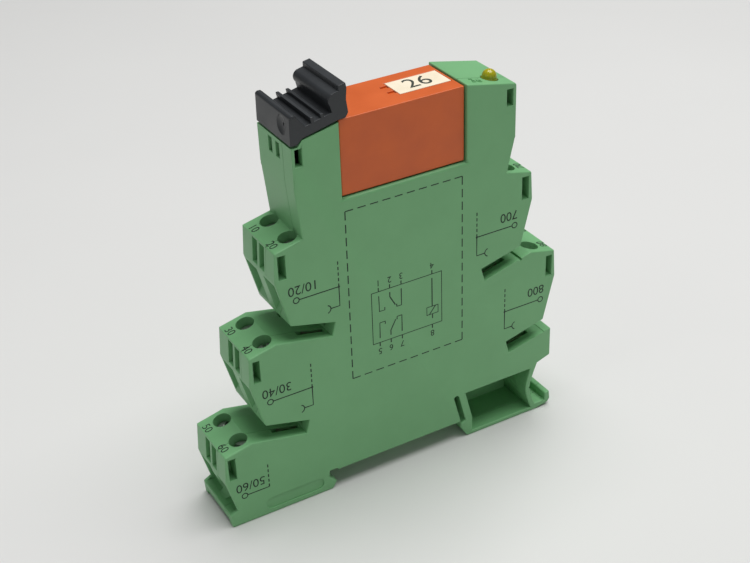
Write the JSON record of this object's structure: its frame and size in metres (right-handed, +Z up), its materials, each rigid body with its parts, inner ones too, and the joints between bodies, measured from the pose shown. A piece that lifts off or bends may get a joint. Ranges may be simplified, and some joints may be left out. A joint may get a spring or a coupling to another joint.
{
  "type": "industrial control relay",
  "caption": "Slim rail-mounted terminal base with stepped screw terminals, a plug-in orange relay, a black hold-and-eject lever and a yellow indicator.",
  "frame": {"origin": "middle of the underside of the feet, at the centre of the overall box", "axes": "+X from the contact terminals to the coil terminals, +Y across the thickness away from the printed face, +Z up from the rail"},
  "size_m": [0.08, 0.014, 0.0907],
  "materials": {
    "housing_green": "satin moulded plastic",
    "lever_black": "satin moulded plastic",
    "relay_orange": "semi-gloss moulded plastic",
    "relay_base_orange": "moulded plastic",
    "tag_cream": "matte printed tag",
    "bobbin_cream": "moulded plastic",
    "winding_copper": "enamelled copper wire",
    "magnet_steel": "plated soft iron",
    "pin_tin": "tinned",
    "blade_bronze": "spring bronze",
    "screw_zinc": "zinc plated",
    "cage_nickel": "nickel plated",
    "bar_tinned": "tinned copper",
    "lamp_yellow": "tinted clear resin",
    "board_laminate": "laminate",
    "diode_black": "moulded",
    "resistor_ceramic": "ceramic"
  },
  "bodies": {
    "base": {"rear_shell": "housing_green", "front_cover": "housing_green", "busbar_common_front": "bar_tinned", "busbar_common_rear": "bar_tinned", "busbar_make_front": "bar_tinned", "busbar_make_rear": "bar_tinned", "busbar_break_front": "bar_tinned", "busbar_break_rear": "bar_tinned", "busbar_coil_minus": "bar_tinned", "busbar_coil_plus": "bar_tinned", "circuit_board": "board_laminate", "diode": "diode_black", "resistor": "resistor_ceramic", "indicator_led": "lamp_yellow"},
    "lever": {"eject_lever": "lever_black"},
    "relay": {"relay_case": "relay_orange", "relay_base": "relay_base_orange", "relay_bobbin": "bobbin_cream", "relay_winding": "winding_copper", "relay_core": "magnet_steel", "relay_yoke": "magnet_steel", "marker_tag": "tag_cream", "relay_pin_make_front": "pin_tin", "relay_pin_make_rear": "pin_tin", "relay_pin_common_front": "pin_tin", "relay_pin_common_rear": "pin_tin", "relay_pin_break_front": "pin_tin", "relay_pin_break_rear": "pin_tin", "relay_pin_coil_front": "pin_tin", "relay_pin_coil_rear": "pin_tin"},
    "armature": {"relay_armature": "magnet_steel", "relay_card": "bobbin_cream"},
    "blades": {"relay_blade_front": "blade_bronze", "relay_blade_rear": "blade_bronze"},
    "screw_common_front": {"screw_common_front": "screw_zinc"},
    "cage_common_front": {"cage_common_front": "cage_nickel"},
    "screw_common_rear": {"screw_common_rear": "screw_zinc"},
    "cage_common_rear": {"cage_common_rear": "cage_nickel"},
    "screw_make_front": {"screw_make_front": "screw_zinc"},
    "cage_make_front": {"cage_make_front": "cage_nickel"},
    "screw_make_rear": {"screw_make_rear": "screw_zinc"},
    "cage_make_rear": {"cage_make_rear": "cage_nickel"},
    "screw_break_front": {"screw_break_front": "screw_zinc"},
    "cage_break_front": {"cage_break_front": "cage_nickel"},
    "screw_break_rear": {"screw_break_rear": "screw_zinc"},
    "cage_break_rear": {"cage_break_rear": "cage_nickel"},
    "screw_coil_minus_front": {"screw_coil_minus_front": "screw_zinc"},
    "cage_coil_minus_front": {"cage_coil_minus_front": "cage_nickel"},
    "screw_coil_minus_rear": {"screw_coil_minus_rear": "screw_zinc"},
    "cage_coil_minus_rear": {"cage_coil_minus_rear": "cage_nickel"},
    "screw_coil_plus_front": {"screw_coil_plus_front": "screw_zinc"},
    "cage_coil_plus_front": {"cage_coil_plus_front": "cage_nickel"},
    "screw_coil_plus_rear": {"screw_coil_plus_rear": "screw_zinc"},
    "cage_coil_plus_rear": {"cage_coil_plus_rear": "cage_nickel"}
  },
  "joints": [
    {"name": "lever_tilt", "type": "hinge", "parent": "base", "child": "lever", "pos_m": [-0.0172, 0, 0.0685], "axis": [0, -1, 0], "range_deg": [0, 22]},
    {"name": "relay_lift", "type": "slide", "parent": "base", "child": "relay", "axis": [0, 0, 1], "range_m": [0, 0.0033]},
    {"name": "armature_tip", "type": "hinge", "parent": "relay", "child": "armature", "pos_m": [0.00215, 0, 0.06995], "axis": [0, 1, 0], "range_deg": [0, 3.2], "stiffness_Nm_per_rad": 0.01},
    {"name": "blade_flex", "type": "hinge", "parent": "relay", "child": "blades", "pos_m": [-0.004, 0, 0.07055], "axis": [0, 1, 0], "range_deg": [0, 3.2]},
    {"name": "turn_common_front", "type": "hinge", "parent": "base", "child": "screw_common_front", "pos_m": [-0.02106, -0.00385, 0.06125], "axis": [0.225, 0, -0.9744], "range_deg": [0, 1311]},
    {"name": "clamp_common_front", "type": "slide", "parent": "base", "child": "cage_common_front", "axis": [-0.225, 0, 0.9744], "range_m": [0, 0.00182]},
    {"name": "turn_common_rear", "type": "hinge", "parent": "base", "child": "screw_common_rear", "pos_m": [-0.02106, 0.00385, 0.06125], "axis": [0.225, 0, -0.9744], "range_deg": [0, 1311]},
    {"name": "clamp_common_rear", "type": "slide", "parent": "base", "child": "cage_common_rear", "axis": [-0.225, 0, 0.9744], "range_m": [0, 0.00182]},
    {"name": "turn_make_front", "type": "hinge", "parent": "base", "child": "screw_make_front", "pos_m": [-0.02814, -0.00385, 0.0401], "axis": [0.225, 0, -0.9744], "range_deg": [0, 1311]},
    {"name": "clamp_make_front", "type": "slide", "parent": "base", "child": "cage_make_front", "axis": [-0.225, 0, 0.9744], "range_m": [0, 0.00182]},
    {"name": "turn_make_rear", "type": "hinge", "parent": "base", "child": "screw_make_rear", "pos_m": [-0.02814, 0.00385, 0.0401], "axis": [0.225, 0, -0.9744], "range_deg": [0, 1311]},
    {"name": "clamp_make_rear", "type": "slide", "parent": "base", "child": "cage_make_rear", "axis": [-0.225, 0, 0.9744], "range_m": [0, 0.00182]},
    {"name": "turn_break_front", "type": "hinge", "parent": "base", "child": "screw_break_front", "pos_m": [-0.03522, -0.00385, 0.01895], "axis": [0.225, 0, -0.9744], "range_deg": [0, 1311]},
    {"name": "clamp_break_front", "type": "slide", "parent": "base", "child": "cage_break_front", "axis": [-0.225, 0, 0.9744], "range_m": [0, 0.00182]},
    {"name": "turn_break_rear", "type": "hinge", "parent": "base", "child": "screw_break_rear", "pos_m": [-0.03522, 0.00385, 0.01895], "axis": [0.225, 0, -0.9744], "range_deg": [0, 1311]},
    {"name": "clamp_break_rear", "type": "slide", "parent": "base", "child": "cage_break_rear", "axis": [-0.225, 0, 0.9744], "range_m": [0, 0.00182]},
    {"name": "turn_coil_minus_front", "type": "hinge", "parent": "base", "child": "screw_coil_minus_front", "pos_m": [0.02866, -0.00385, 0.06207], "axis": [-0.225, 0, -0.9744], "range_deg": [0, 1311]},
    {"name": "clamp_coil_minus_front", "type": "slide", "parent": "base", "child": "cage_coil_minus_front", "axis": [0.225, 0, 0.9744], "range_m": [0, 0.00182]},
    {"name": "turn_coil_minus_rear", "type": "hinge", "parent": "base", "child": "screw_coil_minus_rear", "pos_m": [0.02866, 0.00385, 0.06207], "axis": [-0.225, 0, -0.9744], "range_deg": [0, 1311]},
    {"name": "clamp_coil_minus_rear", "type": "slide", "parent": "base", "child": "cage_coil_minus_rear", "axis": [0.225, 0, 0.9744], "range_m": [0, 0.00182]},
    {"name": "turn_coil_plus_front", "type": "hinge", "parent": "base", "child": "screw_coil_plus_front", "pos_m": [0.03522, -0.00385, 0.04157], "axis": [-0.225, 0, -0.9744], "range_deg": [0, 1311]},
    {"name": "clamp_coil_plus_front", "type": "slide", "parent": "base", "child": "cage_coil_plus_front", "axis": [0.225, 0, 0.9744], "range_m": [0, 0.00182]},
    {"name": "turn_coil_plus_rear", "type": "hinge", "parent": "base", "child": "screw_coil_plus_rear", "pos_m": [0.03522, 0.00385, 0.04157], "axis": [-0.225, 0, -0.9744], "range_deg": [0, 1311]},
    {"name": "clamp_coil_plus_rear", "type": "slide", "parent": "base", "child": "cage_coil_plus_rear", "axis": [0.225, 0, 0.9744], "range_m": [0, 0.00182]}
  ],
  "couplings": [
    {"joint": "relay_lift", "follows": "lever_tilt", "m_per_rad": 0.0084},
    {"joint": "blade_flex", "follows": "armature_tip", "ratio": 0.9},
    {"joint": "turn_common_front", "follows": "clamp_common_front", "rad_per_m": 12566},
    {"joint": "turn_common_rear", "follows": "clamp_common_rear", "rad_per_m": 12566},
    {"joint": "turn_make_front", "follows": "clamp_make_front", "rad_per_m": 12566},
    {"joint": "turn_make_rear", "follows": "clamp_make_rear", "rad_per_m": 12566},
    {"joint": "turn_break_front", "follows": "clamp_break_front", "rad_per_m": 12566},
    {"joint": "turn_break_rear", "follows": "clamp_break_rear", "rad_per_m": 12566},
    {"joint": "turn_coil_minus_front", "follows": "clamp_coil_minus_front", "rad_per_m": 12566},
    {"joint": "turn_coil_minus_rear", "follows": "clamp_coil_minus_rear", "rad_per_m": 12566},
    {"joint": "turn_coil_plus_front", "follows": "clamp_coil_plus_front", "rad_per_m": 12566},
    {"joint": "turn_coil_plus_rear", "follows": "clamp_coil_plus_rear", "rad_per_m": 12566}
  ]
}
